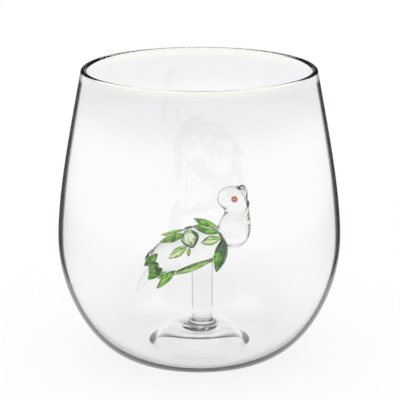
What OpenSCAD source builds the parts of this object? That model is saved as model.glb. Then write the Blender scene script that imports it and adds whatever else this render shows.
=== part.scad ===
// Stemless blown glass tumbler with a small lampworked glass bird inside. The bird sits on a
// short clear rod that is fused to the middle of the tumbler's raised floor.
// Millimetres. +Z is up, +X is the way the bird faces, and the origin is on the table,
// on the tumbler's axis.

/* [Bowl] */
// Widest outer diameter
bowl_d = 102; // [82:1:124]
// Height from the table to the top of the lip
bowl_h = 105; // [87:1:128]
// Outer diameter just under the lip
rim_d = 84; // [70:1:102]
// Height of the widest place
wide_z = 43; // [36:0.5:52]
// Angle by which the wall leans in at the lip
rim_lean = 11; // [2:1:18]
// How far the wall runs straight down from the lip before it bends
rim_run = 21; // [14:0.5:26]
// How far the wall stays upright above its widest place
high_run = 16; // [10:0.5:20]
// How far the wall stays upright below its widest place
low_run = 21; // [14:0.5:26]
// How far the bottom runs outward and flat beyond the contact ring
foot_run = 14; // [9:0.5:18]
// Thickness of the wall
wall_t = 1.5; // [1:0.1:2.5]
// Thickness of the rounded lip
lip_t = 2.2; // [1.6:0.1:3.2]
// Thickness of the floor
base_t = 2.6; // [1.8:0.1:3.6]

/* [Floor] */
// Outer diameter of the flat ring that the tumbler stands on
ring_d = 47; // [40:0.5:56]
// Width of that ring
ring_w = 4.4; // [3:0.1:6]
// Height to which the middle of the floor is pushed up from below
punt_h = 7.7; // [5:0.1:11]
// Diameter of the flat middle of the floor, on which the foot is fused
seat_d = 14; // [13:0.5:20]
// How far the pushed-up floor stays flat around that middle
punt_top_run = 7.4; // [4:0.2:9]
// How flat it runs out where it meets the ring
punt_low_run = 3.2; // [2:0.2:5]

/* [Rod] */
// Diameter of the rod under the bird
stem_d = 8; // [6:0.1:9.6]
// Diameter of the rod at its foot
stem_low_d = 7.4; // [5.5:0.1:9]
// Diameter of the flared foot where it meets the floor
foot_d = 10.6; // [9.8:0.1:11.6]
// Height of the flared foot
foot_h = 1.6; // [1:0.1:3]
// How far the rod stands to one side of the tumbler's axis
stem_shift = 1.1; // [0:0.1:1.5]

/* [Body] */
// Length of the egg-shaped body
body_len = 31; // [25:0.5:38]
// Width of the body
body_wid = 14.4; // [12:0.2:17.5]
// Depth of the body from back to belly
body_deep = 14.8; // [12.2:0.2:18]
// Angle by which the front of the body is raised
body_tilt = 22; // [12:1:32]
// Height of the body's middle above the tumbler's floor
perch_h = 27.4; // [22:0.2:33]
// How far the body's middle lies behind the rod
body_back = 5.5; // [3:0.5:7]

/* [Neck and head] */
// Length of the round breast, front to back
breast_len = 11; // [9:0.2:13.5]
// Width of the breast
breast_wid = 10.4; // [8.5:0.2:12.5]
// Height of the breast
breast_high = 12.4; // [10:0.2:15]
// How far the breast's middle lies ahead of the body's front end
breast_ahead = 2.3; // [1:0.1:3.5]
// How far it lies above the body's front end
breast_up = 1.5; // [0:0.1:3]
// Thickness of the neck, front to back
neck_len = 8.8; // [7:0.2:10.4]
// Width of the neck
neck_wid = 7.4; // [6:0.2:9]
// Height of the neck piece
neck_high = 18; // [15:0.2:22]
// How far the neck reaches down into the breast
neck_sink = 10.2; // [7.5:0.2:12]
// How far the neck's middle lies ahead of the breast's middle
neck_ahead = 1.6; // [0:0.1:2.5]
// Length of the head
head_len = 9.8; // [8.2:0.2:11.8]
// Width of the head
head_wid = 9.4; // [7.8:0.2:11.4]
// Height of the head
head_high = 8.4; // [7.2:0.2:10.6]
// How far the head's middle lies below the neck's top
head_sink = 1.6; // [0.5:0.1:3]
// How far the head's middle lies behind the neck's middle
head_back = 2.6; // [1.6:0.1:3.6]
// Angle by which the head looks up
head_tilt = 14; // [0:1:20]

/* [Beak and eyes] */
// Length of the upper beak, front to back
beak_len = 4.2; // [3.4:0.1:5]
// Width of the upper beak
beak_wid = 4; // [3.2:0.1:4.8]
// Height of the upper beak, which stands upright
beak_high = 6.2; // [5.2:0.1:7.6]
// How far its middle lies behind the head's front end
beak_set = 0.6; // [0:0.1:1.4]
// How far its middle lies above the head's middle
beak_up = 0.7; // [0:0.1:1.4]
// Length of the lower beak
jaw_len = 3.8; // [3.1:0.1:4.6]
// Width of the lower beak
jaw_wid = 3; // [2.4:0.1:3.6]
// Height of the lower beak
jaw_high = 3; // [2.4:0.1:3.6]
// How far its middle lies behind the head's front end
jaw_set = 0.6; // [0:0.1:1.2]
// How far its middle lies below the head's middle
jaw_down = 3.3; // [2.7:0.1:3.9]
// Diameter of the bead eyes
eye_d = 2.5; // [1.8:0.1:3.2]
// How far an eye's middle is sunk into the side of the head
eye_sink = 0.4; // [0.1:0.05:0.8]
// How far the eyes lie ahead of the head's middle
eye_ahead = 1.4; // [0:0.1:2]
// How far the eyes lie above the head's middle
eye_up = 0.4; // [0:0.1:1.4]

/* [Tail] */
// Length of the pointed tail, with the part inside the body
tail_len = 12; // [10:0.5:14.5]
// Width of the tail
tail_wid = 3.6; // [3:0.2:4.4]
// Depth of the tail
tail_deep = 3.8; // [3.1:0.1:4.6]
// Angle by which the tail points down
tail_drop = 50; // [40:1:60]
// How far the tail starts inside the body's rear end
tail_set = 3.3; // [2.6:0.1:4]

/* [Feathers] */
// How far a feather's root is set into the glass that it is fused to
root_set = 1; // [0.6:0.1:1.6]

/* [Hidden] */
SMOOTH = 96;          // facets of round surfaces on screen
WALL_STEPS = 22;      // steps along each half of the wall's outline
PUNT_STEPS = 12;      // steps along the pushed-up floor's outline
LIP_STEPS = 10;       // steps round the lip
LEAF_FACE_SPAN = 1.1; // span of a leaf's rounded faces, as a share of its length

bowl_r = bowl_d / 2;
rim_z = bowl_h - lip_t / 2 * (1 - sin(rim_lean));
ring_out = ring_d / 2;
ring_in = ring_out - ring_w;
seat_r = seat_d / 2;
floor_z = punt_h + base_t;
stem_low_z = floor_z + foot_h;
body_z = floor_z + perch_h;

// Places of the feathers. Each row is for one side of the bird, and the other side mirrors it.
// along: place on the body, from -1 at its rear end to 1 at its front end
// around: angle from the middle of the back down towards the belly
// turn: way the feather points, 0 straight back, positive down the side
// lift: angle by which its tip stands off the body; roll: twist about its own length
// Then its length, width and thickness, its glass, and what it touches besides the body.
// name, along, around, turn, lift, roll, length, width, thickness, glass, touches
FEATHERS = [
    ["wing", 0.82, 46, -20, 3, -30, 9.2, 3.4, 1.7, "deep", ["neck"]],
    ["back", 0.04, 24, 6, 5, 0, 8.2, 4.2, 1.8, "leaf", ["mantle"]],
    ["mantle", 0.20, 18, 92, -24, 0, 7, 6.6, 2.8, "olive", []],
    ["shoulder", 0.80, 78, -8, -5, 0, 6.8, 3.4, 1.8, "pale", ["neck", "breast_feather"]],
    ["flank", 0.03, 66, 14, 2, 0, 7.2, 3.2, 1.8, "pale", []],
    ["bead", 0.09, 78, 60, 2, 0, 2.3, 1.5, 1.8, "lime", ["mantle"]],
    ["rump", -0.70, 50, 14, 4, 0, 6, 3.4, 1.9, "deep", []],
    ["covert", -0.72, 112, 24, 20, 0, 6.4, 3.6, 1.9, "dark", []],
    ["thigh", -0.46, 134, 15, 32, 0, 8.8, 3.8, 2, "leaf", ["belly"]],
    ["belly", 0.44, 147, -6, -10, 0, 14.6, 4, 3, "pale", ["stem"]],
    ["breast_feather", 0.91, 103, 45, -5, 0, 12, 6.4, 2.8, "dark", ["neck", "stem"]],
];
SIDES = ["right", "left"];

// Colours of the glasses
CLEAR = [0.86, 0.92, 0.93, 0.4];
EYE_RED = [0.9, 0.25, 0.1];
function glass_colour(name) =
    name == "dark" ? [0.08, 0.24, 0.04] :
    name == "deep" ? [0.14, 0.38, 0.08] :
    name == "leaf" ? [0.3, 0.56, 0.16] :
    name == "lime" ? [0.62, 0.72, 0.2] :
    name == "olive" ? [0.72, 0.74, 0.5] :
    [0.6, 0.76, 0.42];

// A point on a curve that leaves p towards q and reaches s from r, and its heading there
function curve(p, q, r, s, t) =
    (1 - t)^3 * p + 3 * (1 - t)^2 * t * q + 3 * (1 - t) * t^2 * r + t^3 * s;
function heading(p, q, r, s, t) =
    (1 - t)^2 * (q - p) + 2 * (1 - t) * t * (r - q) + t^2 * (s - r);
function inward(way) = [-way[1], way[0]] / norm(way);

// The wall's outer outline, below and above its widest place, as the curve's four points
low_wall = [
    [ring_out, 0], [ring_out + foot_run, 0],
    [bowl_r, wide_z - low_run], [bowl_r, wide_z]
];
high_wall = [
    [bowl_r, wide_z], [bowl_r, wide_z + high_run],
    [rim_d / 2 + rim_run * sin(rim_lean), rim_z - rim_run * cos(rim_lean)],
    [rim_d / 2, rim_z]
];
punt = [
    [seat_r, punt_h], [seat_r + punt_top_run, punt_h],
    [ring_in - punt_low_run, 0], [ring_in, 0]
];
function on_curve(c, t) = curve(c[0], c[1], c[2], c[3], t);
function in_from(c, t, thick) = on_curve(c, t) + thick * inward(heading(c[0], c[1], c[2], c[3], t));

// The glass thins from the floor to the wall, and thickens again in the last of the wall
function low_t(t) = wall_t + (base_t - wall_t) * (1 - t)^2;
function high_t(t) = wall_t + (lip_t - wall_t) * t^6;

function outline() = concat(
    [[0, punt_h]],
    [for (i = [0:PUNT_STEPS]) on_curve(punt, i / PUNT_STEPS)],
    [for (i = [0:WALL_STEPS]) on_curve(low_wall, i / WALL_STEPS)],
    [for (i = [1:WALL_STEPS]) on_curve(high_wall, i / WALL_STEPS)],
    lip(),
    [for (i = [WALL_STEPS:-1:1]) in_from(high_wall, i / WALL_STEPS, high_t(i / WALL_STEPS))],
    [for (i = [WALL_STEPS:-1:0]) in_from(low_wall, i / WALL_STEPS, low_t(i / WALL_STEPS))],
    [for (i = [PUNT_STEPS:-1:0]) on_curve(punt, i / PUNT_STEPS) + [0, base_t]],
    [[0, floor_z]]
);
lip_mid = [rim_d / 2, rim_z] - lip_t / 2 * [cos(rim_lean), sin(rim_lean)];
function lip() = [
    for (i = [1:LIP_STEPS - 1])
        let (a = rim_lean + 180 * i / LIP_STEPS)
        lip_mid + lip_t / 2 * [cos(a), sin(a)]
];

// Ways to place things on the bird
module on_rod() {
    translate([stem_shift, 0, 0]) children();
}
module on_body() {
    on_rod() translate([-body_back, 0, body_z]) rotate([0, -body_tilt, 0]) children();
}
module at_body_front() {
    on_body() translate([body_len / 2, 0, 0]) rotate([0, body_tilt, 0]) children();
}
module at_body_rear() {
    on_body() translate([-body_len / 2, 0, 0]) rotate([0, body_tilt, 0]) children();
}
module at_breast() {
    at_body_front() translate([breast_ahead, 0, breast_up]) children();
}
module at_neck() {
    at_breast()
        translate([neck_ahead, 0, breast_high / 2 - neck_sink + neck_high / 2])
            children();
}
module at_head() {
    at_neck()
        translate([-head_back, 0, neck_high / 2 - head_sink])
            rotate([0, -head_tilt, 0]) children();
}

// Shapes that pieces are made of, and are cut by where another piece is fused to them
module egg(length, width, height) {
    scale([length / 2, width / 2, height / 2]) sphere(r = 1, $fn = SMOOTH);
}
module body_form() {
    on_body() egg(body_len, body_wid, body_deep);
}
module neck_form() {
    at_breast() egg(breast_len, breast_wid, breast_high);
    at_neck() egg(neck_len, neck_wid, neck_high);
}
module head_form() {
    at_head() egg(head_len, head_wid, head_high);
}
module upper_beak_form() {
    at_head()
        translate([head_len / 2 - beak_set, 0, beak_up])
            rotate([0, head_tilt, 0]) egg(beak_len, beak_wid, beak_high);
}
module stem_form() {
    on_rod()
        translate([0, 0, stem_low_z])
            cylinder(h = body_z - stem_low_z, d1 = stem_low_d, d2 = stem_d, $fn = SMOOTH);
}
module tail_form() {
    at_body_rear()
        translate([tail_set, 0, 0])
            rotate([0, 180 - tail_drop, 0])
                leaf(tail_len, tail_wid, tail_deep);
}

// A pointed leaf along +X from the origin: two upright cylinders cross in its outline, and two
// balls cross in its rounded faces, which still have a little thickness at the points
module leaf(length, width, thick) {
    outline_r = (length^2 + width^2) / (4 * width);
    face_span = length * LEAF_FACE_SPAN;
    face_r = (face_span^2 + thick^2) / (4 * thick);
    translate([length / 2, 0, 0]) intersection() {
        for_both([0, outline_r - width / 2, 0])
            cylinder(h = 2 * thick, r = outline_r, center = true, $fn = SMOOTH);
        for_both([0, 0, face_r - thick / 2])
            sphere(r = face_r, $fn = SMOOTH);
    }
}
module for_both(shift) {
    intersection() {
        translate(shift) children();
        translate(-shift) children();
    }
}

// Where a feather's root sits on the right side of the body. Its columns are the way to the
// tail along the surface, the way down the side, the way out, and the place itself.
function root_frame(along, around) =
    let (
        girth = sqrt(1 - along^2),
        half = [body_len / 2, body_wid / 2, body_deep / 2],
        ring = [0, -sin(around), cos(around)],
        place = [half[0] * along, half[1] * girth * ring[1], half[2] * girth * ring[2]],
        out = [for (i = [0:2]) place[i] / half[i]^2],
        out1 = out / norm(out),
        back = [-half[0], half[1] * along / girth * ring[1], half[2] * along / girth * ring[2]],
        back1 = back / norm(back),
        down = cross(out1, back1)
    )
    [for (i = [0:2]) [back1[i], down[i], out1[i], place[i]]];

module feather_form(f) {
    on_body()
        multmatrix(root_frame(f[1], f[2]))
            rotate([0, 0, f[3]]) rotate([0, -f[4], 0]) rotate([f[5], 0, 0])
                translate([-root_set, 0, 0])
                    leaf(f[6] + root_set, f[7], f[8]);
}
module touched(name) {
    if (name == "neck") neck_form();
    if (name == "stem") stem_form();
    for (f = FEATHERS) if (f[0] == name) feather_form(f);
}

// The pieces
module bowl() {
    color(CLEAR) rotate_extrude($fn = SMOOTH) polygon(outline());
}
module stem_foot() {
    color(CLEAR) on_rod() translate([0, 0, floor_z])
        cylinder(h = foot_h, d1 = foot_d, d2 = stem_low_d, $fn = SMOOTH);
}
module stem() {
    color(CLEAR) difference() {
        stem_form();
        body_form();
    }
}
module body() {
    color(CLEAR) body_form();
}
module neck() {
    color(CLEAR) difference() {
        neck_form();
        body_form();
    }
}
module head() {
    color(CLEAR) difference() {
        head_form();
        neck_form();
    }
}
module upper_beak() {
    color(CLEAR) difference() {
        upper_beak_form();
        head_form();
        neck_form();
    }
}
module lower_beak() {
    color(CLEAR) difference() {
        at_head()
            translate([head_len / 2 - jaw_set, 0, -jaw_down])
                rotate([0, head_tilt, 0]) egg(jaw_len, jaw_wid, jaw_high);
        head_form();
        neck_form();
        upper_beak_form();
    }
}
module eye(side) {
    color(EYE_RED) difference() {
        at_head()
            translate([eye_ahead, side * (head_wid / 2 - eye_sink), eye_up])
                sphere(d = eye_d, $fn = SMOOTH);
        head_form();
    }
}
module tail() {
    color(CLEAR) difference() {
        tail_form();
        body_form();
    }
}
module right_feather(f) {
    color(glass_colour(f[9])) difference() {
        feather_form(f);
        body_form();
        for (name = f[10]) touched(name);
    }
}
module feather(f, side) {
    if (side == "right") right_feather(f);
    else mirror([0, 1, 0]) right_feather(f);
}

bowl();
stem_foot();
stem();
body();
neck();
head();
upper_beak();
lower_beak();
eye(-1);  // eye_right
eye(1);  // eye_left
tail();
for (f = FEATHERS, s = SIDES)
    feather(f, s);
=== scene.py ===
# %% [markdown]
# # A tumbler with a glass bird inside
# The object is a blown, stemless tumbler. A small bird, made of rods of glass melted in a flame,
# stands inside it on a short clear rod that is fused to the raised floor.
# Almost everything is clear, so the lesson is about surfaces that bend light: they have to be
# smooth, closed and well lit, because glass shows what stands round it more than it shows itself.

import math

import bmesh
import bpy
import numpy as np
from mathutils import Matrix, Vector


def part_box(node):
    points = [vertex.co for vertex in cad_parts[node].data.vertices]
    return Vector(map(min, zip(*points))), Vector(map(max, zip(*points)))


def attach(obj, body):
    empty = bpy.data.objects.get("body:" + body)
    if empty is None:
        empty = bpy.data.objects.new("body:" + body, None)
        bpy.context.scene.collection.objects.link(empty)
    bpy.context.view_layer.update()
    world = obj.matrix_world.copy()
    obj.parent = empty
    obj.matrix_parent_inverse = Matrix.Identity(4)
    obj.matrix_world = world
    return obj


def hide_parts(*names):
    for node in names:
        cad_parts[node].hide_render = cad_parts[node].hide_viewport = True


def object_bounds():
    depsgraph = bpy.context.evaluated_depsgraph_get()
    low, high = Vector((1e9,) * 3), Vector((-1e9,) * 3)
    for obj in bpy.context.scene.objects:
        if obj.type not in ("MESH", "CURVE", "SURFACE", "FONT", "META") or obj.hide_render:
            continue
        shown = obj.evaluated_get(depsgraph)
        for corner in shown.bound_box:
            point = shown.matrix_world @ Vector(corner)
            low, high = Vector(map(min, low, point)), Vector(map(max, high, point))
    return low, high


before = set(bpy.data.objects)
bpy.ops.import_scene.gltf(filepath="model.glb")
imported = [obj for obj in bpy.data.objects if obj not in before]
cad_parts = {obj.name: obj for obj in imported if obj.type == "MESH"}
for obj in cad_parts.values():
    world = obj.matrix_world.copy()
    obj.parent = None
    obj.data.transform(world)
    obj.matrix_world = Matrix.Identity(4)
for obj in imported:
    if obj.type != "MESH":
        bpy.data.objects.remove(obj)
cad_low, cad_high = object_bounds()
MM = 0.001
print("the engineering model has", len(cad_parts), "nodes and is",
      [round((b - a) / MM, 1) for a, b in zip(cad_low, cad_high)], "mm")

# %% [markdown]
# ## New pieces
# Each piece that is made here stands for one or more nodes of the engineering model, and rides
# with the body that they belong to. Glass only bends light the right way when its faces look
# outward, so a mesh with a negative volume is turned inside out.

# %% A new piece
def add_piece(name, verts, faces, nodes, material_slot):
    """A smooth mesh piece that stands for CAD nodes and rides with them."""
    mesh = bpy.data.meshes.new(name)
    mesh.from_pydata([tuple(v) for v in verts], [], faces)
    bm = bmesh.new()
    bm.from_mesh(mesh)
    volume = bm.calc_volume(signed=True)
    if volume < 0:
        bmesh.ops.reverse_faces(bm, faces=bm.faces)
        bm.to_mesh(mesh)
    bm.free()
    mesh.shade_smooth()
    piece = bpy.data.objects.new(name, mesh)
    bpy.context.scene.collection.objects.link(piece)
    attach(piece, "root")
    if nodes:
        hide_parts(*nodes)
    return piece


print("new pieces ride with the body named root")

# %% [markdown]
# ## Turning a section into a mesh
# The tumbler is a turned shape. A section drawn as a row of points, spun round the upright axis,
# gives its whole surface. A Screw modifier could spin it, but a short function keeps the rings
# in order, and closes the ends at the axis with a single point.

# %% Spun shapes and easy curves
def spin(section, turns):
    """Rings of points round Z for a section of (radius, height) points that starts and ends
    on the axis."""
    verts, faces = [(0, 0, section[0][1])], []
    for r, z in section[1:-1]:
        for i in range(turns):
            a = 2 * math.pi * i / turns
            verts.append((r * math.cos(a), r * math.sin(a), z))
    verts.append((0, 0, section[-1][1]))
    rings = len(section) - 2
    for i in range(turns):
        j = (i + 1) % turns
        faces.append((0, 1 + j, 1 + i))
        for k in range(rings - 1):
            a, b = 1 + k * turns, 1 + (k + 1) * turns
            faces.append((a + i, a + j, b + j, b + i))
        last = 1 + (rings - 1) * turns
        faces.append((len(verts) - 1, last + i, last + j))
    return verts, faces


def bezier(points, t):
    p, q, r, s = (np.array(x, float) for x in points)
    return (1 - t) ** 3 * p + 3 * (1 - t) ** 2 * t * q + 3 * (1 - t) * t * t * r + t**3 * s


def inward(points, t):
    """The direction into the glass, square to the curve."""
    p, q, r, s = (np.array(x, float) for x in points)
    way = (1 - t) ** 2 * (q - p) + 2 * (1 - t) * t * (r - q) + t * t * (s - r)
    return np.array((-way[1], way[0])) / np.hypot(*way)


print("a square section spun in 4 turns has", len(spin([(0, 0), (1, 0), (1, 1), (0, 1)], 4)[1]),
      "faces")

# %% [markdown]
# ## The tumbler's section
# A glass blower swings and turns the hot bubble, so its wall is one easy curve: flat under the
# base, widest below the middle, and leaning in to the lip. Two long curves draw the outside.
# The inside follows them at the wall's thickness, which grows towards the floor and in the
# fire-polished lip. The floor is pushed up in the middle, so the tumbler stands on a ring.

# %% Section of the tumbler
_, bowl_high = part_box("bowl")
WIDE_R, WIDE_Z = bowl_high.x, 43 * MM
RIM_R, RIM_LEAN, RIM_RUN = 42 * MM, math.radians(11), 21 * MM
LOW_RUN, HIGH_RUN, FOOT_RUN = 21 * MM, 16 * MM, 14 * MM
WALL, LIP, FLOOR = 1.5 * MM, 2.2 * MM, 2.6 * MM
RING_OUT, RING_IN, SEAT_R, PUNT = 23.5 * MM, 19.1 * MM, 7 * MM, 7.7 * MM
PUNT_TOP_RUN, PUNT_LOW_RUN = 7.4 * MM, 3.2 * MM
rim_z = bowl_high.z - LIP / 2 * (1 - math.sin(RIM_LEAN))
floor_z = PUNT + FLOOR

low_wall = [(RING_OUT, 0), (RING_OUT + FOOT_RUN, 0), (WIDE_R, WIDE_Z - LOW_RUN), (WIDE_R, WIDE_Z)]
high_wall = [
    (WIDE_R, WIDE_Z),
    (WIDE_R, WIDE_Z + HIGH_RUN),
    (RIM_R + RIM_RUN * math.sin(RIM_LEAN), rim_z - RIM_RUN * math.cos(RIM_LEAN)),
    (RIM_R, rim_z),
]
punt = [(SEAT_R, PUNT), (SEAT_R + PUNT_TOP_RUN, PUNT), (RING_IN - PUNT_LOW_RUN, 0), (RING_IN, 0)]
lip_mid = np.array((RIM_R, rim_z)) - LIP / 2 * np.array((math.cos(RIM_LEAN), math.sin(RIM_LEAN)))
PUNT_STEPS, LOW_STEPS, HIGH_STEPS, LIP_STEPS = 20, 48, 44, 14
print("the tumbler's lip is", round(rim_z / MM, 1), "mm up and its floor", round(floor_z / MM, 1))

# %% [markdown]
# ### Spinning it
# The row of points goes from the middle of the underside, out along the ring, up the outer face,
# round the lip, down the inner face and back to the middle of the floor.
# Only the outer face gets the painted dark outline later on. A value stored on the mesh's points
# is the plainest way to tell a finish where that face is.

# %% The tumbler
def steps(n, backwards=False):
    ts = [i / n for i in range(n + 1)]
    return ts[::-1] if backwards else ts


def tumbler_section():
    """The section's points, and how many come before the lip."""
    out = [(0, PUNT), (SEAT_R / 2, PUNT)]
    out += [bezier(punt, t) for t in steps(PUNT_STEPS)]
    out += [bezier(low_wall, t) for t in steps(LOW_STEPS)]
    out += [bezier(high_wall, t) for t in steps(HIGH_STEPS)[1:]]
    before_lip = len(out)
    for i in range(1, LIP_STEPS):
        a = RIM_LEAN + math.pi * i / LIP_STEPS
        out.append(lip_mid + LIP / 2 * np.array((math.cos(a), math.sin(a))))
    for t in steps(HIGH_STEPS, True)[:-1]:
        out.append(bezier(high_wall, t) + inward(high_wall, t) * (WALL + (LIP - WALL) * t**6))
    for t in steps(LOW_STEPS, True):
        thick = WALL + (FLOOR - WALL) * (1 - t) ** 2
        out.append(bezier(low_wall, t) + inward(low_wall, t) * thick)
    out += [bezier(punt, t) + np.array((0, FLOOR)) for t in steps(PUNT_STEPS, True)]
    out += [(SEAT_R / 2, floor_z), (0, floor_z)]
    return out, before_lip


TURNS = 160
section, before_lip = tumbler_section()
bowl = add_piece("tumbler", *spin(section, TURNS), ["bowl"], "bowl_glass")
outer_face = bowl.data.attributes.new("outer_face", "FLOAT", "POINT")
FLAT_STEPS = 8  # the wall's first steps lie nearly flat on the table
first = 2 + PUNT_STEPS + 1 + FLAT_STEPS
last = before_lip + 4  # the lip's outer shoulder
for k in range(1 + (first - 1) * TURNS, 1 + last * TURNS):
    outer_face.data[k].value = 1.0
print("the section has", len(section), "points and the tumbler", len(bowl.data.polygons), "faces")

# %% [markdown]
# ## The clear bird and its rod
# A lampworker builds the bird from a hot gather of clear glass: an egg for the body, a thinner
# gather for the neck and head, and a drawn-out tail, all melted on to the end of the rod. Where
# two gathers meet, the glass flows into a small hollow instead of a sharp crease.
# Boolean unions would leave creases. Metaballs blend, but their sizes are hard to hold. So each
# gather is an exact egg, cone or drop, and one formula for the distance to all of them rounds
# the joins. A remesh gives clean, even quads, and every point then slides on to that formula's
# surface, which leaves no stair steps for the glass to bend light with.

# %% Where the bird's parts are
ROD_X = 1.1 * MM
BODY_HALF = np.array((15.5, 7.2, 7.4)) * MM
BODY_TILT = math.radians(22)
BODY_MID = np.array((ROD_X - 5.5 * MM, 0, floor_z + 27.4 * MM))
front_x, front_z = (BODY_HALF[0] * f(BODY_TILT) for f in (math.cos, math.sin))
# half sizes along, across and up, in mm
BREAST_HALF, NECK_HALF, HEAD_HALF = (5.5, 5.2, 6.2), (4.4, 3.7, 9), (4.9, 4.7, 4.2)
NECK_SUNK, HEAD_SUNK = 10.2, 1.6  # how far each one starts inside the one below
BREAST_MID = BODY_MID + np.array((front_x + 2.3 * MM, 0, front_z + 1.5 * MM))
NECK_MID = BREAST_MID + np.array((1.6, 0, BREAST_HALF[2] - NECK_SUNK + NECK_HALF[2])) * MM
HEAD_MID = NECK_MID + np.array((-2.6, 0, NECK_HALF[2] - HEAD_SUNK)) * MM
HEAD_TILT = math.radians(14)


def tip_up(angle):
    """A turn that raises +X towards +Z."""
    c, s = math.cos(angle), math.sin(angle)
    return np.array(((c, 0, -s), (0, 1, 0), (s, 0, c)))


BODY_TURN, HEAD_TURN = tip_up(BODY_TILT), tip_up(HEAD_TILT)
UPRIGHT = np.eye(3)
BEAK_SET = HEAD_HALF[0] - 0.6
BEAK_MID = HEAD_MID + HEAD_TURN @ (np.array((BEAK_SET, 0, 0.7)) * MM)
JAW_MID = HEAD_MID + HEAD_TURN @ (np.array((BEAK_SET, 0, -3.3)) * MM)
REAR = BODY_MID - BODY_TURN @ np.array((BODY_HALF[0], 0, 0))

# each egg: middle, turn, half sizes in mm, and how far its join flows, in mm
EGGS = {
    "body": (BODY_MID, BODY_TURN, BODY_HALF / MM, 0),
    "breast": (BREAST_MID, UPRIGHT, BREAST_HALF, 1.6),
    "neck": (NECK_MID, UPRIGHT, NECK_HALF, 3.4),
    "head": (HEAD_MID, HEAD_TURN, HEAD_HALF, 2.4),
    "upper_beak": (BEAK_MID, UPRIGHT, (2.1, 2, 3.1), 1.6),
    "lower_beak": (JAW_MID, UPRIGHT, (1.9, 1.5, 1.5), 0.9),
}
print("the bird's middle is", [round(v / MM, 1) for v in BODY_MID], "mm")

# %% [markdown]
# ### Distances
# The distance to an egg has no exact short formula, but dividing the space by its half sizes
# gives one that is right at the surface, which is where it matters. A join is where two
# distances are nearly the same, and taking a little off there fills its crease.

# %% Distance to the clear glass
def egg_distance(p, middle, turn, half):
    q = (p - middle) @ turn
    half = np.array(half) * MM
    k0 = np.linalg.norm(q / half, axis=1)
    k1 = np.linalg.norm(q / half**2, axis=1)
    return k0 * (k0 - 1) / np.maximum(k1, 1e-9)


def flow(a, b, reach):
    """The nearer of two distances, with the join rounded over that reach."""
    reach = max(reach * MM, 1e-7)
    h = np.maximum(reach - np.abs(a - b), 0) / reach
    return np.minimum(a, b) - h * h * reach / 4


probe = HEAD_MID[None] + (0, 0, 10 * MM)
over_head = egg_distance(probe, HEAD_MID, HEAD_TURN, HEAD_HALF)[0]
print("10 mm above the head's middle, its glass is", round(over_head / MM, 1), "mm away")

# %% [markdown]
# ### The rod
# The rod is drawn from a thicker cane, so it is a little thinner low down. Its foot was pressed
# on to the hot floor and spread, and it is melted in by a fraction of a millimetre.

# %% Distance to the rod
ROD_LOW_R, ROD_R, FOOT_R, FOOT_H = 3.7 * MM, 4 * MM, 5.3 * MM, 1.6 * MM
ROD_TOP = BODY_MID[2] - 2 * MM
SINK = 0.35 * MM  # how far the foot is melted into the floor


def rod_distance(p):
    z = p[:, 2] - floor_z
    up = np.clip((z - FOOT_H) / (BODY_MID[2] - floor_z - FOOT_H), 0, 1)
    flare = np.clip(1 - z / FOOT_H, 0, 1)
    radius = ROD_LOW_R + (ROD_R - ROD_LOW_R) * up + (FOOT_R - ROD_LOW_R) * flare**1.6
    side = np.hypot(p[:, 0] - ROD_X, p[:, 1]) - radius
    ends = np.maximum(p[:, 2] - ROD_TOP, -SINK - z)
    return np.maximum(side, ends)


print("the rod ends", round(ROD_TOP / MM, 1), "mm up, inside the body")

# %% [markdown]
# ### The tail
# The tail was pulled out of the body's end while soft, so it thins to a point and its tip hooks
# a little. A row of round beads along a bent line, joined by slim cones, has that shape.

# %% Distance to the tail
TAIL_DROP = math.radians(50)
TAIL_LEN = 12 * MM
TAIL_SET = 3.3 * MM
TAIL_ROOT = REAR + np.array((TAIL_SET, 0, 0))
HOOK = 0.7 * MM


def tail_middle(s):
    """A point on the tail's middle line, from 0 at its root to 1 at its hooked tip."""
    way = np.array((-math.cos(TAIL_DROP), 0, -math.sin(TAIL_DROP)))
    side = np.array((math.sin(TAIL_DROP), 0, -math.cos(TAIL_DROP)))
    s = np.asarray(s)[:, None]
    return TAIL_ROOT + way * TAIL_LEN * s + side * HOOK * (s**4 - 0.6 * s * (1 - s))


TAIL_BEADS = np.linspace(0, 1, 26)
TAIL_PATH = tail_middle(TAIL_BEADS)
swelling = np.sin(np.pi * (0.12 + 0.8 * TAIL_BEADS)) ** 0.9
TAIL_R = (1.85 * swelling * (1 - TAIL_BEADS) ** 0.35 + 0.28) * MM


def tail_distance(p):
    best = None
    for a, b, ra, rb in zip(TAIL_PATH[:-1], TAIL_PATH[1:], TAIL_R[:-1], TAIL_R[1:]):
        way = b - a
        t = np.clip((p - a) @ way / (way @ way), 0, 1)
        d = np.linalg.norm(p - a - t[:, None] * way, axis=1) - (ra + (rb - ra) * t)
        best = d if best is None else np.minimum(best, d)
    return best


print("the tail is", TAIL_LEN / MM, "mm long and ends", round(TAIL_PATH[-1][2] / MM, 1), "mm up")

# %% [markdown]
# ### All of it
# The eggs are joined one after another, in the order in which they are melted on. The tail and
# the rod come last, each with its own small hollow at the join.

# %% Distance to all the clear glass
TAIL_FLOW, ROD_FLOW = 0.8, 0.9  # mm


def glass_distance(p):
    d = None
    for middle, turn, half, reach in EGGS.values():
        e = egg_distance(p, middle, turn, half)
        d = e if d is None else flow(d, e, reach)
    d = flow(d, tail_distance(p), TAIL_FLOW)
    return flow(d, rod_distance(p), ROD_FLOW)


print("joined into one glass:", len(EGGS), "eggs, the tail and the rod")

# %% [markdown]
# ### From distance to mesh
# The remesh only needs a rough closed shape to start from, so a few round balls along each part
# are enough, with two cones for the rod and its foot.

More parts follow.
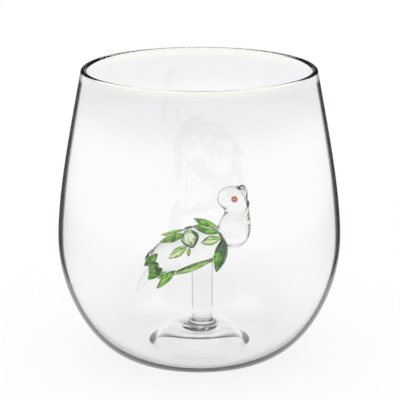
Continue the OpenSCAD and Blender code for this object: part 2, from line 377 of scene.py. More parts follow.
# %% Rough start
def rough_balls():
    bm = bmesh.new()

    def ball(middle, turn, half):
        m = Matrix(turn.tolist()).to_4x4() @ Matrix.Diagonal(Vector(tuple(half) + (1,)))
        m.translation = Vector(middle)
        bmesh.ops.create_icosphere(bm, subdivisions=4, radius=1, matrix=m)

    for middle, turn, half, _ in EGGS.values():
        ball(middle, turn, np.array(half) * MM)
    for point, radius in zip(TAIL_PATH, TAIL_R):
        ball(point, UPRIGHT, (radius,) * 3)
    height = ROD_TOP - floor_z + SINK
    place = Matrix.Translation((ROD_X, 0, floor_z - SINK + height / 2))
    bmesh.ops.create_cone(bm, cap_ends=True, segments=64, radius1=ROD_LOW_R, radius2=ROD_R,
                          depth=height, matrix=place)
    place = Matrix.Translation((ROD_X, 0, floor_z - SINK + (FOOT_H + SINK) / 2))
    bmesh.ops.create_cone(bm, cap_ends=True, segments=64, radius1=FOOT_R, radius2=ROD_LOW_R,
                          depth=FOOT_H + SINK, matrix=place)
    mesh = bpy.data.meshes.new("rough")
    bm.to_mesh(mesh)
    bm.free()
    return mesh


print("the rough start is", round((ROD_TOP - floor_z + SINK) / MM, 1), "mm tall at the rod")

# %% [markdown]
# ### An even, smooth mesh
# A voxel remesh turns the rough start into small, even faces. Newton's method then moves each
# point by its distance, along the slope, until it is on the surface.

# %% Mesh of the clear glass
def slide_on(points, distance, rounds=6, small=2e-5):
    """Moves points on to the surface where the distance is nought."""
    p = points.copy()
    for _ in range(rounds):
        d = distance(p)
        slope = np.stack([(distance(p + small * axis) - distance(p - small * axis)) / (2 * small)
                          for axis in np.eye(3)], 1)
        size = np.maximum((slope**2).sum(1), 0.25)
        p -= (np.clip(d, -0.4 * MM, 0.4 * MM) / size)[:, None] * slope
    return p


def remeshed(mesh, voxel):
    thing = bpy.data.objects.new("rough", mesh)
    bpy.context.scene.collection.objects.link(thing)
    mod = thing.modifiers.new("even", "REMESH")
    mod.mode, mod.voxel_size, mod.adaptivity = "VOXEL", voxel, 0
    relax = thing.modifiers.new("relax", "SMOOTH")
    relax.factor, relax.iterations = 0.5, 8
    done = bpy.data.meshes.new_from_object(
        thing.evaluated_get(bpy.context.evaluated_depsgraph_get()))
    bpy.data.objects.remove(thing)
    return done


VOXEL = 0.28 * MM
even = remeshed(rough_balls(), VOXEL)
points = np.array([v.co for v in even.vertices])
points = slide_on(points, glass_distance)
faces = [tuple(f.vertices) for f in even.polygons]
bird = add_piece("clear_bird_on_rod", points, faces,
                 ["body", "neck", "head", "upper_beak", "lower_beak", "tail", "stem",
                  "stem_foot"], "bird_glass")
print("the clear glass has", len(faces), "faces")

# %% [markdown]
# ## Leaf feathers
# Each feather is a drop of green glass, pressed flat with a tool and touched on to the body while
# both are hot. It has a pointed outline, a swollen middle, and a groove down the top where
# the tool left its mark. A plane with a Solidify modifier would be even in thickness, and real
# ones are not, so each leaf is lofted from almond sections. Its map runs from root to tip and
# from edge to edge, so that the vein pattern can follow it.

# %% Places of the feathers
# name: along the body from rear -1 to front 1, angle down from the back, turn towards the side,
# lift of the tip, roll; length, width and thickness in mm; curl of the tip in mm; glass
FEATHERS = {
    "wing": (0.82, 46, -20, 3, -30, 9.2, 3.4, 1.7, 0.2, "deep"),
    "back": (0.04, 24, 6, 5, 0, 8.2, 4.2, 1.8, 0.5, "leaf"),
    "mantle": (0.20, 18, 92, -24, 0, 7, 6.6, 2.8, -0.6, "olive"),
    "shoulder": (0.80, 78, -8, -5, 0, 6.8, 3.4, 1.8, 0.2, "pale"),
    "flank": (0.03, 66, 14, 2, 0, 7.2, 3.2, 1.8, 0.2, "pale"),
    "bead": (0.09, 78, 60, 2, 0, 2.3, 1.5, 1.8, 0, "lime"),
    "rump": (-0.70, 50, 14, 4, 0, 6, 3.4, 1.9, 0.4, "deep"),
    "covert": (-0.72, 112, 24, 20, 0, 6.4, 3.6, 1.9, 0.4, "dark"),
    "thigh": (-0.46, 134, 15, 32, 0, 8.8, 3.8, 2, 0.3, "leaf"),
    "belly": (0.44, 147, -6, -10, 0, 14.6, 4, 3, -0.2, "pale"),
    "breast_feather": (0.91, 103, 45, -5, 0, 12, 6.4, 2.8, -0.3, "dark"),
}
ROOT_SET = 1 * MM
print("feathers on each side:", len(FEATHERS))


# %% [markdown]
# ### A frame on the body for each root
# A feather's root needs a place on the egg-shaped body, a way back along the surface, and a way
# out. All three follow from the egg's formula, so a feather stays on the body when its numbers
# change.

# %% Frame at a feather's root
def turned(axis, degrees):
    return Matrix.Rotation(math.radians(degrees), 4, axis)


def root_frame(along, around):
    girth = math.sqrt(1 - along**2)
    ring = np.array((0, -math.sin(math.radians(around)), math.cos(math.radians(around))))
    place = np.array((BODY_HALF[0] * along, *(BODY_HALF[1:] * girth * ring[1:])))
    out = place / BODY_HALF**2
    out /= np.linalg.norm(out)
    back = np.array((-BODY_HALF[0], *(BODY_HALF[1:] * along / girth * ring[1:])))
    back /= np.linalg.norm(back)
    columns = np.stack([back, np.cross(out, back), out], 1)
    local = Matrix(columns.tolist()).to_4x4()
    local.translation = Vector(place)
    on_body = Matrix(BODY_TURN.tolist()).to_4x4()
    on_body.translation = Vector(BODY_MID)
    return on_body @ local


print("the mantle's root is at", [round(v / MM, 1) for v in root_frame(0.2, 18).translation])

# %% [markdown]
# ### The shape of a leaf
# Across the leaf, each section is an almond: full in the middle, thin at both edges. Along it,
# the almonds swell quickly from the root and run out to a point, and a shallow groove down the
# top is where the tool pressed.

# %% One leaf
LEAF_STATIONS, LEAF_RING = 30, 24
THIN = 0.05 * MM  # half thickness of the very ends
GROOVE = 0.22  # depth of the groove, as a share of half the thickness


def leaf(length, width, thick, curl):
    """Points, faces and map of one leaf along +X. Its sections are almonds."""
    verts, uvs, faces = [], [], []
    for i in range(LEAF_STATIONS + 1):
        u = i / LEAF_STATIONS
        x = length * (u + 0.012 * math.sin(2 * math.pi * u))
        swell = math.sin(math.pi * u) ** 0.75 * (1.06 - 0.1 * u)
        half_w, half_t = width / 2 * swell, thick / 2 * swell**0.75
        half_w, half_t = max(half_w, THIN), max(half_t, THIN)
        lift = curl * u**3
        for j in range(LEAF_RING):
            a = 2 * math.pi * j / LEAF_RING
            v, w = math.cos(a), math.sin(a)
            z = half_t * w
            if w > 0:
                z -= GROOVE * half_t * math.exp(-((v / 0.2) ** 2)) * math.sin(math.pi * u)
            verts.append((x, half_w * v, z + lift))
            uvs.append((u, 0.5 + 0.5 * v))
    for i in range(LEAF_STATIONS):
        for j in range(LEAF_RING):
            k = (j + 1) % LEAF_RING
            a, b = i * LEAF_RING, (i + 1) * LEAF_RING
            faces.append((a + j, a + k, b + k, b + j))
    faces.append(tuple(reversed(range(LEAF_RING))))
    faces.append(tuple(LEAF_STATIONS * LEAF_RING + j for j in range(LEAF_RING)))
    return verts, uvs, faces


print("a leaf has", (LEAF_STATIONS + 1) * LEAF_RING, "points")

# %% [markdown]
# ### Setting the feathers on the body
# The bird is the same on both sides, so each left feather is the right one seen in a mirror. Its
# faces have to be turned over as well, or light would bend the wrong way in it.

# %% All the feathers
def feather(name, side):
    along, around, turn, lift, roll, length, width, thick, curl, glass = FEATHERS[name]
    place = root_frame(along, around) @ turned("Z", turn) @ turned("Y", -lift) @ turned("X", roll)
    place = place @ Matrix.Translation((-ROOT_SET, 0, 0))
    verts, uvs, faces = leaf(length * MM + ROOT_SET, width * MM, thick * MM, curl * MM)
    verts = [place @ Vector(v) for v in verts]
    if side == "left":
        verts = [(v[0], -v[1], v[2]) for v in verts]
        faces = [f[::-1] for f in faces]
    node = f"{name}_{side}"
    piece = add_piece(f"leaf_{node}", verts, faces, [node], f"{glass}_green")
    layer = piece.data.uv_layers.new(name="leaf")
    for loop in piece.data.loops:
        layer.data[loop.index].uv = uvs[loop.vertex_index]
    return piece


feathers = {(n, s): feather(n, s) for n in FEATHERS for s in ("right", "left")}
print("made", len(feathers), "feathers")

# %% [markdown]
# ## Eyes
# Each eye is a small bead of orange-red glass touched on to the side of the head, with a paler
# dot pressed into its middle. The bead is a shallow dome with a dimple, spun like the tumbler
# and then set square to the head.

# %% Eyes
def eye(side):
    low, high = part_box(f"eye_{side}")
    middle = (low + high) / 2
    radius = (high.x - low.x) / 2
    outline = [(0, -0.5), (0.55, -0.5), (0.9, -0.28), (1, 0), (0.92, 0.26), (0.72, 0.44),
               (0.5, 0.5), (0.3, 0.46), (0.14, 0.4), (0, 0.38)]
    verts, faces = spin([(r * radius, z * radius) for r, z in outline], 48)
    way = 1 if side == "left" else -1
    face_out = Matrix.Rotation(math.radians(-90 * way), 4, "X")
    outer_y = high.y if side == "left" else low.y
    centre = Vector((middle.x, outer_y - way * 0.5 * radius, middle.z))
    verts = [face_out @ Vector(v) + centre for v in verts]
    piece = add_piece(f"eye_bead_{side}", verts, faces, [f"eye_{side}"], "eye_glass")
    layer = piece.data.uv_layers.new(name="bead")
    for loop in piece.data.loops:
        v = piece.data.vertices[loop.vertex_index].co - centre
        layer.data[loop.index].uv = (0.5 + v.x / radius / 2, 0.5 + v.z / radius / 2)
    return piece


eyes = [eye(side) for side in ("right", "left")]
print("eyes:", [e.name for e in eyes])

# %% [markdown]
# ## Node helpers
# Every finish is made of nodes. One helper adds a node, sets its sockets by name and links the
# ones that are given as outputs. Effects that several finishes share are node groups.

# %% Node helpers
def node(tree, kind, inputs=None, **settings):
    made = tree.nodes.new(kind)
    for key, value in settings.items():
        setattr(made, key, value)
    for key, value in (inputs or {}).items():
        socket = made.inputs[key]
        if isinstance(value, bpy.types.NodeSocket):
            tree.links.new(value, socket)
        else:
            socket.default_value = value
    return made


def group(name, inputs, outputs):
    """A new shader group: {socket: (type, value)} in, {socket: type} out."""
    tree = bpy.data.node_groups.new(name, "ShaderNodeTree")
    for label, (kind, value) in inputs.items():
        socket = tree.interface.new_socket(label, in_out="INPUT", socket_type=f"NodeSocket{kind}")
        if value is not None:
            socket.default_value = value
    for label, kind in outputs.items():
        tree.interface.new_socket(label, in_out="OUTPUT", socket_type=f"NodeSocket{kind}")
    return tree, tree.nodes.new("NodeGroupInput").outputs, tree.nodes.new("NodeGroupOutput").inputs


def maths(tree, operation, a, b=0.0, c=0.0, clamp=False):
    made = node(tree, "ShaderNodeMath", {0: a, 1: b, 2: c}, operation=operation, use_clamp=clamp)
    return made.outputs[0]


def blend_colours(tree, share, a, b):
    made = node(tree, "ShaderNodeMix", {0: share, 6: a, 7: b}, data_type="RGBA")
    return made.outputs[2]


print("node helpers:", *(f.__name__ for f in (node, group, maths, blend_colours)))

# %% [markdown]
# A finish is a material with one Principled shader. Plain values go straight on its sockets, and
# only what varies over the surface is linked, so the finish still reads well elsewhere.

# %% Helpers for finishes
def set_stops(ramp_node, stops):
    """Colour stops (place, colour) on a Color Ramp. A plain number stands for a grey."""
    ramp = ramp_node.color_ramp
    for i, (at, colour) in enumerate(stops):
        stop = ramp.elements[i] if i < 2 else ramp.elements.new(at)
        stop.position = at
        stop.color = (*colour, 1) if isinstance(colour, tuple) else (colour,) * 3 + (1,)


def place(material, tree, values):
    """One use of a group in a material, with its own values."""
    return node(material.node_tree, "ShaderNodeGroup", values, node_tree=tree)


def finish(name, pieces, **values):
    """A material on these pieces, and its Principled shader with plain values set."""
    material = bpy.data.materials.new(name)
    material.use_nodes = True
    shader = material.node_tree.nodes["Principled BSDF"]
    for key, value in values.items():
        shader.inputs[key.replace("_", " ")].default_value = value
    for piece in pieces:
        piece.data.materials.clear()
        piece.data.materials.append(material)
    return material, shader


print("finish helpers:", *(f.__name__ for f in (set_stops, place, finish)))

# %% [markdown]
# ## Shared glass effects
# Clear glass is never quite colourless. Where the eye looks along a wall instead of through it,
# the light has travelled much further in the glass, so the outline is a little darker and greener.
# This group turns the facing share of Layer Weight into that tint. With a deep colour near black
# it
# also paints a dark outline: painted shade in place of the dark surroundings that the edges
# mirror.
# Layer Weight itself stays in each material, because only there does it know the surface it is on.

# %% Group: edge tint and painted dark outline
edge_tint_and_painted_outline, g_in, g_out = group(
    "long_way_through_glass_and_painted_outline",
    {"Facing": ("Float", 0), "Clear": ("Color", (1, 1, 1, 1)), "Deep": ("Color", (0, 0, 0, 1)),
     "Start": ("Float", 0.7), "End": ("Float", 1)},
    {"Colour": "Color"},
)
span = maths(edge_tint_and_painted_outline, "SUBTRACT", g_in["End"], g_in["Start"])
over = maths(edge_tint_and_painted_outline, "SUBTRACT", g_in["Facing"], g_in["Start"])
share = maths(edge_tint_and_painted_outline, "DIVIDE", over, span, clamp=True)
edge_tint_and_painted_outline.links.new(blend_colours(edge_tint_and_painted_outline, share, g_in["Clear"], g_in["Deep"]), g_out["Colour"])
print("group:", edge_tint_and_painted_outline.name)

# %% [markdown]
# Glass that was shaped hot keeps soft waves, and glass that was drawn has faint lines along the
# pull. A few tiny bubbles stay trapped in patches. One height with all three goes to a Bump node,
# since none of them is large enough to need real shape.

# %% Group: hot-worked surface
BUBBLE_CELLS, BUBBLE_SIZE = 900.0, 0.16
worked, g_in, g_out = group(
    "hot_worked_surface",
    {"Wave Size": ("Float", 0.01), "Line Size": ("Float", 0.001), "Lines": ("Float", 0.5),
     "Bubbles": ("Float", 0.5)},
    {"Height": "Float"},
)
where = node(worked, "ShaderNodeTexCoord").outputs["Object"]
per_wave = maths(worked, "DIVIDE", 1.0, g_in["Wave Size"])
waves = node(worked, "ShaderNodeTexNoise", {"Vector": where, "Scale": per_wave, "Detail": 1.5})
stretch = node(worked, "ShaderNodeVectorMath", {0: where, 1: (1, 1, 0.02)}, operation="MULTIPLY")
per_line = maths(worked, "DIVIDE", 1.0, g_in["Line Size"])
lines = node(worked, "ShaderNodeTexNoise", {"Vector": stretch.outputs[0], "Scale": per_line})
line_part = maths(worked, "MULTIPLY", lines.outputs["Fac"], g_in["Lines"])
cells = node(worked, "ShaderNodeTexVoronoi", {"Vector": where, "Scale": BUBBLE_CELLS})
dots = maths(worked, "LESS_THAN", cells.outputs["Distance"], BUBBLE_SIZE)
patches = node(worked, "ShaderNodeTexNoise", {"Vector": where, "Scale": 220.0})
in_patch = maths(worked, "GREATER_THAN", patches.outputs["Fac"], 0.6)
bubble = maths(worked, "MULTIPLY", maths(worked, "MULTIPLY", dots, in_patch), g_in["Bubbles"])
height = maths(worked, "ADD", waves.outputs["Fac"], line_part)
worked.links.new(maths(worked, "ADD", height, bubble), g_out["Height"])
print("group:", worked.name)

# %% [markdown]
# ## Leaf pattern
# A lampworker lays threads of dark green on a paler green, and the melt pulls them into veins
# that run from the root and fan out to the edge. The tip is drawn thin and stays nearly clear.
# A few pale streaks in the tip colour are painted highlights. The group works in the leaf's own
# map: along it, and across it.

# %% Group: leaf pattern
leaf_veins_and_painted_highlights, g_in, g_out = group(
    "leaf_veins_and_painted_highlights",
    {"Light": ("Color", (1, 1, 1, 1)), "Dark": ("Color", (0, 0, 0, 1)),
     "Tip And Highlight": ("Color", (1, 1, 1, 1)), "Dark Share": ("Float", 0.4), "Front Edge": ("Float", 0),
     "Seed": ("Float", 0)},
    {"Colour": "Color", "Height": "Float"},
)


def vein(operation, *values, **settings):
    return maths(leaf_veins_and_painted_highlights, operation, *values, **settings)


flat = node(leaf_veins_and_painted_highlights, "ShaderNodeUVMap", uv_map="leaf").outputs[0]
parts = node(leaf_veins_and_painted_highlights, "ShaderNodeSeparateXYZ", {0: flat}).outputs
along, over = parts["X"], parts["Y"]
across = vein("ABSOLUTE", vein("SUBTRACT", over, 0.5))
# the middle rib, and side veins that fan out from it
rib = vein("SUBTRACT", 1.0, vein("MULTIPLY", across, 9.0), clamp=True)
fan = vein("MULTIPLY", vein("SUBTRACT", along, across), 3.0)
fan = vein("SINE", vein("MULTIPLY", fan, 2 * math.pi))
fan = vein("POWER", vein("MAXIMUM", fan, 0.0), 2.0)
threads = vein("ADD", vein("MULTIPLY", rib, 0.7), vein("MULTIPLY", fan, 0.6))
# uneven melting, different for each glass
melt_at = node(leaf_veins_and_painted_highlights, "ShaderNodeCombineXYZ",
               {0: vein("MULTIPLY", along, 1.6), 1: vein("MULTIPLY", over, 3.2), 2: g_in["Seed"]})
melt = node(leaf_veins_and_painted_highlights, "ShaderNodeTexNoise",
            {"Vector": melt_at.outputs[0], "Scale": 1.3, "Detail": 1.0})
melt = vein("MULTIPLY_ADD", melt.outputs["Fac"], 8.0, -4.0)
edge = vein("MULTIPLY", vein("POWER", vein("MULTIPLY", across, 2.0), 5.0), 0.8)
dark = vein("ADD", threads, vein("ADD", melt, edge))
dark = vein("ADD", dark, vein("MULTIPLY_ADD", g_in["Dark Share"], 2.0, -1.0), clamp=True)
front = vein("MULTIPLY_ADD", over, 8.0, -6.4, clamp=True)
dark = vein("ADD", dark, vein("MULTIPLY", front, g_in["Front Edge"]), clamp=True)
# nearly clear glass at the tip, and pale streaks of painted highlight
tip = vein("MULTIPLY_ADD", along, 7.0, -6.0, clamp=True)
painted_highlight_at = node(leaf_veins_and_painted_highlights, "ShaderNodeCombineXYZ",
                {0: along, 1: vein("MULTIPLY", over, 4.0), 2: vein("ADD", g_in["Seed"], 9.0)})
painted_highlight = node(leaf_veins_and_painted_highlights, "ShaderNodeTexNoise", {"Vector": painted_highlight_at.outputs[0], "Scale": 1.7})
painted_highlight = vein("MULTIPLY_ADD", painted_highlight.outputs["Fac"], 12.0, -7.0, clamp=True)
tip = vein("MAXIMUM", tip, vein("MULTIPLY", painted_highlight, 0.8))
colour = blend_colours(leaf_veins_and_painted_highlights, dark, g_in["Light"], g_in["Dark"])
leaf_veins_and_painted_highlights.links.new(blend_colours(leaf_veins_and_painted_highlights, tip, colour, g_in["Tip And Highlight"]), g_out["Colour"])
leaf_veins_and_painted_highlights.links.new(vein("MULTIPLY", threads, -1.0), g_out["Height"])
print("group:", leaf_veins_and_painted_highlights.name)

# %% [markdown]
# ## Clear glasses
# Both clear finishes are one Principled shader: full transmission, the bending power of soda
# glass, and no roughness to speak of. The tumbler is blown thin and even, so its waves are long
# and shallow. The bird is worked by hand, so its waves are shorter, its lines are drawn along
# the rod, and it holds a few bubbles.

# %% Clear finishes
GLASS_IOR = 1.5


def clear_finish(name, pieces, clear, deep, start, end, bump, **surface):
    material, shader = finish(name, pieces, Transmission_Weight=1.0, IOR=GLASS_IOR, Roughness=0.0)
    tree = material.node_tree
    facing = node(tree, "ShaderNodeLayerWeight", {"Blend": 0.5}).outputs["Facing"]
    tint = place(material, edge_tint_and_painted_outline, {"Facing": facing, "Clear": clear, "Deep": deep,
                                       "Start": start, "End": end})
    skin = place(material, worked, surface)
    relief = node(tree, "ShaderNodeBump", {"Height": skin.outputs["Height"], "Strength": bump,
                                           "Distance": 0.1 * MM})
    tree.links.new(tint.outputs["Colour"], shader.inputs["Base Color"])
    tree.links.new(relief.outputs["Normal"], shader.inputs["Normal"])
    return material, tint, facing


# the deep colours are near black: a painted dark outline at grazing angles, painted shade in place
# of dark surroundings mirrored at the edges
TUMBLER_CLEAR, TUMBLER_PAINTED_OUTLINE = (0.988, 0.99, 0.988, 1), (0.012, 0.016, 0.012, 1)
BIRD_CLEAR, BIRD_PAINTED_OUTLINE = (0.955, 0.96, 0.957, 1), (0.11, 0.12, 0.11, 1)
tumbler_glass, tint, facing = clear_finish(
    "blown_tumbler_glass", [bowl], TUMBLER_CLEAR, TUMBLER_PAINTED_OUTLINE, 0.725, 0.76, 0.15,
    **{"Wave Size": 0.03, "Line Size": 0.004, "Lines": 0.1, "Bubbles": 0.0})
bird_glass, bird_tint, bird_facing = clear_finish(
    "lampworked_clear_glass", [bird], BIRD_CLEAR, BIRD_PAINTED_OUTLINE, 0.5, 0.75, 0.35,
    **{"Wave Size": 0.004, "Line Size": 0.0011, "Lines": 0.6, "Bubbles": 0.5})
print("clear finishes are on", bowl.name, "and", bird.name)

# %% [markdown]
# ### Where the tumbler is tinted
# The thin wall's painted dark outline is on its outer face only, which the stored value picks out.
# The lip is a solid bead, which shows the glass's own olive colour. Towards the lip and the floor
# the wall holds a little more glass, and both ends of the wall are painted greyer: painted shade.
# Masks of height do that.

# %% Lip and floor of the tumbler
def height_up(tree):
    where = node(tree, "ShaderNodeTexCoord").outputs["Object"]
    return node(tree, "ShaderNodeSeparateXYZ", {0: where}).outputs["Z"]


def ease(value, start, end):
    """From 0 at start to 1 at end, in the same tree as the value."""
    made = node(value.id_data, "ShaderNodeMapRange",
                {"Value": value, "From Min": start, "From Max": end},
                interpolation_type="SMOOTHSTEP")
    return made.outputs["Result"]


tree = tumbler_glass.node_tree
up = height_up(tree)
in_lip = ease(up, rim_z - 3 * MM, rim_z - 1 * MM)
high_up = ease(up, rim_z - 23 * MM, rim_z - 7 * MM)
low_down = ease(up, 34 * MM, 6 * MM)
on_outer = node(tree, "ShaderNodeAttribute", attribute_name="outer_face").outputs["Fac"]
# painted shade: the wall is greyer towards the lip and towards the floor
PAINTED_SHADE_NEAR_LIP, PAINTED_SHADE_NEAR_FLOOR = (0.885, 0.888, 0.9, 1), (0.945, 0.95, 0.94, 1)
LIP_CLEAR, LIP_DEEP = (0.94, 0.955, 0.9, 1), (0.72, 0.77, 0.6, 1)
clear = blend_colours(tree, high_up, TUMBLER_CLEAR, PAINTED_SHADE_NEAR_LIP)
clear = blend_colours(tree, low_down, clear, PAINTED_SHADE_NEAR_FLOOR)
clear = blend_colours(tree, in_lip, clear, LIP_CLEAR)
tree.links.new(clear, tint.inputs["Clear"])
tree.links.new(blend_colours(tree, in_lip, TUMBLER_PAINTED_OUTLINE, LIP_DEEP), tint.inputs["Deep"])
# the painted dark outline falls on the outer face only
tree.links.new(maths(tree, "MULTIPLY", facing, on_outer), tint.inputs["Facing"])
print("the lip's tint starts", round(rim_z / MM - 3, 1), "mm up")

# %% [markdown]
# ### The rod's foot
# The foot is melted into the tumbler's floor, so it has no outline of its own. The bird's edge
# tint, with its painted dark outline, fades out just above it.

# %% Foot of the rod
tree = bird_glass.node_tree
up = height_up(tree)
above_foot = ease(up, floor_z + 3 * MM, floor_z + 6 * MM)
tree.links.new(maths(tree, "MULTIPLY", bird_facing, above_foot), bird_tint.inputs["Facing"])
print("the rod's outline starts", round(floor_z / MM + 3, 1), "mm up")

# %% [markdown]
# ## Green glasses
# The greens are one recipe with its own light and dark colour for each kind of rod. Colour goes
# into the shader's Base Color, which tints what shows through at each surface that light
# passes, so a leaf over another leaf is darker, as real glass is.

# %% Green finishes
# glass: light, dark and tip colours (the tip colour also paints the highlight streaks), share of
# dark, dark front edge, and the facing share at which its rim tint, partly a painted dark outline,
# starts
GREENS = {
    "deep": ((0.26, 0.68, 0.004), (0.006, 0.13, 0.002), (0.93, 0.96, 0.9), 0.5, 0, 0.55),
    "leaf": ((0.36, 0.77, 0.008), (0.012, 0.18, 0.003), (0.93, 0.96, 0.9), 0.42, 0, 0.55),
    "dark": ((0.26, 0.66, 0.004), (0.003, 0.1, 0.001), (0.8, 0.9, 0.6), 0.46, 0, 0.6),
    "pale": ((0.8, 0.92, 0.46), (0.12, 0.45, 0.01), (0.95, 0.97, 0.92), 0.26, 0.4, 0.65),
    "olive": ((0.9, 0.94, 0.76), (0.03, 0.22, 0.006), (0.5, 0.76, 0.2), 0.1, 1, 0.86),
    "lime": ((0.74, 0.86, 0.02), (0.12, 0.32, 0.004), (0.92, 0.96, 0.8), 0.5, 0, 0.65),
}


def opaque(colour):
    return (*colour, 1)


for number, (glass, recipe) in enumerate(GREENS.items()):
    light, dark, tip_and_highlight_colour, dark_share, front_edge, rim_start = recipe
    pieces = [p for (name, _), p in feathers.items() if FEATHERS[name][-1] == glass]
    material, shader = finish(f"{glass}_green_glass", pieces, Transmission_Weight=1.0,
                              IOR=GLASS_IOR, Roughness=0.02)
    tree = material.node_tree
    veins = place(material, leaf_veins_and_painted_highlights, {"Light": opaque(light), "Dark": opaque(dark),
                                         "Tip And Highlight": opaque(tip_and_highlight_colour), "Dark Share": dark_share,
                                         "Front Edge": front_edge, "Seed": 3.7 * number})
    facing = node(tree, "ShaderNodeLayerWeight", {"Blend": 0.5}).outputs["Facing"]
    rim = place(material, edge_tint_and_painted_outline, {"Facing": facing, "Clear": veins.outputs["Colour"],
                                      "Deep": opaque([c * 0.5 for c in dark]),
                                      "Start": rim_start, "End": 0.96})
    skin = place(material, worked, {"Wave Size": 0.0025, "Line Size": 0.001, "Lines": 0.2,
                                    "Bubbles": 0.3})
    both = maths(tree, "ADD", veins.outputs["Height"], skin.outputs["Height"])
    relief = node(tree, "ShaderNodeBump", {"Height": both, "Strength": 0.6, "Distance": 0.15 * MM})
    tree.links.new(rim.outputs["Colour"], shader.inputs["Base Color"])
    tree.links.new(relief.outputs["Normal"], shader.inputs["Normal"])
    print(material.name, "is on", len(pieces), "feathers")

# %% [markdown]
# ## Eye glass
# The bead is a ring of orange-red round a pale dot. Rings come from the distance to the middle
# of the bead's own map. The glass is nearly opaque, so only a little light passes.

# %% Eye finish
material, shader = finish("orange_red_eye_glass", eyes, Roughness=0.08, IOR=GLASS_IOR,
                          Transmission_Weight=0.15, Coat_Weight=0.6)
tree = material.node_tree
flat = node(tree, "ShaderNodeUVMap", uv_map="bead").outputs[0]
off = node(tree, "ShaderNodeVectorMath", {0: flat, 1: (0.5, 0.5, 0)}, operation="DISTANCE")
grain = node(tree, "ShaderNodeTexNoise", {"Vector": flat, "Scale": 9.0})
wobble = maths(tree, "MULTIPLY_ADD", grain.outputs["Fac"], 0.06, -0.03)
ring = node(tree, "ShaderNodeValToRGB", {0: maths(tree, "ADD", off.outputs["Value"], wobble)})
stops = [(0.0, (1, 0.66, 0.5)), (0.13, (1, 0.5, 0.34)), (0.2, (0.75, 0.05, 0.02)),
         (0.36, (0.86, 0.09, 0.03)), (0.46, (1, 0.42, 0.26))]
set_stops(ring, stops)
tree.links.new(ring.outputs["Color"], shader.inputs["Base Color"])
relief = node(tree, "ShaderNodeBump", {"Height": grain.outputs["Fac"], "Strength": 0.2,
                                       "Distance": 0.05 * MM})
tree.links.new(relief.outputs["Normal"], shader.inputs["Normal"])
print("eye finish:", material.name)

# %% [markdown]
# ## Floor, light and camera
# Clear glass is lit by what surrounds it. The floor glows a little, like a light table, so that
# hardly any shadow falls on it. In a mirror reflection on the glass, the floor is shown darker:
# that greys the wall a touch without greying the floor itself. "Is Glossy Ray" alone would also
# dim what is seen through the glass, so it is multiplied by "Is Reflection Ray".

# %% Floor
def mirrored(tree):
    """1 for light that came by a mirror reflection, else 0."""
    path = node(tree, "ShaderNodeLightPath").outputs
    return maths(tree, "MULTIPLY", path["Is Reflection Ray"], path["Is Glossy Ray"])


bpy.ops.mesh.primitive_grid_add(x_subdivisions=8, y_subdivisions=8, size=12,
                                location=(0, 0, -0.02 * MM))
floor = bpy.context.object
floor.name = "studio_floor"
material, shader = finish("pale_floor", [floor], Roughness=0.9, Specular_IOR_Level=0.0,
                          Emission_Strength=0.83)
tree = material.node_tree
spots = node(tree, "ShaderNodeTexNoise", {"Scale": 3.0})
paper = node(tree, "ShaderNodeValToRGB", {0: spots.outputs["Fac"]})
set_stops(paper, [(0.0, 0.17), (1.0, 0.185)])
spread = node(tree, "ShaderNodeVectorMath",
              {0: node(tree, "ShaderNodeTexCoord").outputs["Object"]}, operation="LENGTH")
seen = node(tree, "ShaderNodeValToRGB", {0: spread.outputs["Value"]})
FLOOR_SEEN = [(0.0, 0.9), (0.08, 0.75), (0.17, 0.2), (0.3, 0.2), (0.45, 0.7), (1.0, 0.8)]
set_stops(seen, FLOOR_SEEN)
dim = blend_colours(tree, mirrored(tree), (1, 1, 1, 1), seen.outputs["Color"])
lit = node(tree, "ShaderNodeMix", {0: 1.0, 6: paper.outputs["Color"], 7: dim}, data_type="RGBA",
           blend_type="MULTIPLY")
tree.links.new(lit.outputs[2], shader.inputs["Base Color"])
tree.links.new(dim, shader.inputs["Emission Color"])
print("floor:", floor.name)

# %% [markdown]
# ### Sky
# A pale sky all round keeps the glass bright. It is greyer high up, which gives the rounded parts
# something to bend. Reflections see a darker sky with one bright band, as from a long softbox,
# and that band puts the small glints on the feathers and the lip.

# %% Sky
world = bpy.data.worlds.new("studio")
bpy.context.scene.world = world
world.use_nodes = True
tree = world.node_tree
up = node(tree, "ShaderNodeSeparateXYZ",
          {0: node(tree, "ShaderNodeTexCoord").outputs["Generated"]}).outputs["Z"]
sky = node(tree, "ShaderNodeValToRGB", {0: up})
SKY = [(0.0, 1.0), (0.32, 1.0), (0.5, 0.72), (0.75, 0.62), (0.92, 1.5)]
set_stops(sky, SKY)
mirror_sky = node(tree, "ShaderNodeValToRGB", {0: up})
SKY_SEEN = [(0.0, 0.8), (0.16, 0.16), (0.5, 0.16), (0.55, 5.0), (0.66, 5.0), (0.73, 0.16)]
set_stops(mirror_sky, SKY_SEEN)
sky_seen = blend_colours(tree, mirrored(tree), sky.outputs["Color"], mirror_sky.outputs["Color"])
tree.links.new(sky_seen, tree.nodes["Background"].inputs["Color"])
tree.nodes["Background"].inputs["Strength"].default_value = 1.02
print("sky brightness by height:", SKY)

# %% [markdown]
# ### Camera
# The camera stands level sideways and looks down a little, from far off with a long lens, so the
# lip shows as a shallow oval and the sides hardly narrow.

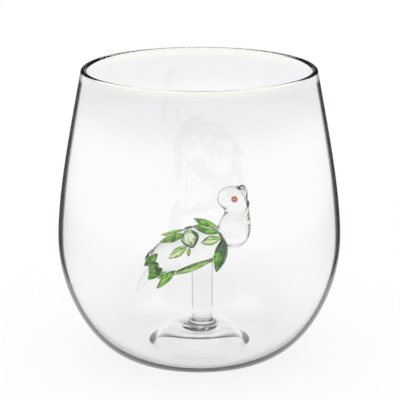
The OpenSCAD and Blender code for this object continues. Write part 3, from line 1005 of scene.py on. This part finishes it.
# %% Camera
scene = bpy.context.scene
TARGET = Vector((0, 0, (cad_low.z + cad_high.z) / 2))
DISTANCE, ELEVATION = 0.63, math.radians(15.57)
away = Vector((0, -math.cos(ELEVATION), math.sin(ELEVATION)))
above = Vector((0, math.sin(ELEVATION), math.cos(ELEVATION)))
camera = bpy.data.objects.new("camera", bpy.data.cameras.new("camera"))
scene.collection.objects.link(camera)
camera.location = TARGET + away * DISTANCE
aim = TARGET + above * 3.79 * MM + Vector((0.25 * MM, 0, 0))
camera.rotation_euler = (aim - camera.location).to_track_quat("-Z", "Y").to_euler()
camera.data.lens = 156.8
camera.data.clip_start = 0.05
scene.camera = camera
scene.view_settings.view_transform = "Standard"
print("the camera stands", DISTANCE, "m away")

# %% [markdown]
# ### Dark flags
# On a pale ground, clear glass would vanish. Glass photographers stand black cards, called
# flags, just out of the picture, for its curved edges to mirror. These flags stand beside the
# camera's view and go where it goes. They darken the edges only a little here: most of the
# dark outline is painted shade in the glass's own colour, from the edge tint. Only mirror
# reflections show them: they are hidden from the camera and throw no shadow.

# %% Flags
def flag(name, corners, grey):
    mesh = bpy.data.meshes.new(name)
    mesh.from_pydata(corners, [], [(0, 1, 2, 3)])
    card = bpy.data.objects.new(name, mesh)
    scene.collection.objects.link(card)
    card.parent = camera
    card.visible_camera = card.visible_diffuse = False
    card.visible_shadow = card.visible_transmission = False
    material, shader = finish(f"{name}_card", [card], Roughness=1.0, Specular_IOR_Level=0.0)
    fibre = node(material.node_tree, "ShaderNodeTexNoise", {"Scale": 400.0})
    shade = node(material.node_tree, "ShaderNodeValToRGB", {0: fibre.outputs["Fac"]})
    shade.color_ramp.elements[0].color = (grey * 0.8,) * 3 + (1,)
    shade.color_ramp.elements[1].color = (grey * 1.2,) * 3 + (1,)
    material.node_tree.links.new(shade.outputs["Color"], shader.inputs["Base Color"])
    return card


NEAR, FAR = DISTANCE + 0.05, DISTANCE + 0.9
SPREAD = 0.122  # half the view's width for each metre of distance, with a little to spare
TALL = 0.3
for name, way, grey in (("left_flag", -1, 0.05), ("right_flag", 1, 0.02)):
    flag(name, [(way * SPREAD * d, h, -d) for d, h in
                ((NEAR, -TALL), (FAR, -TALL), (FAR, TALL), (NEAR, TALL))], grey)
print("flags start", NEAR, "m from the camera")
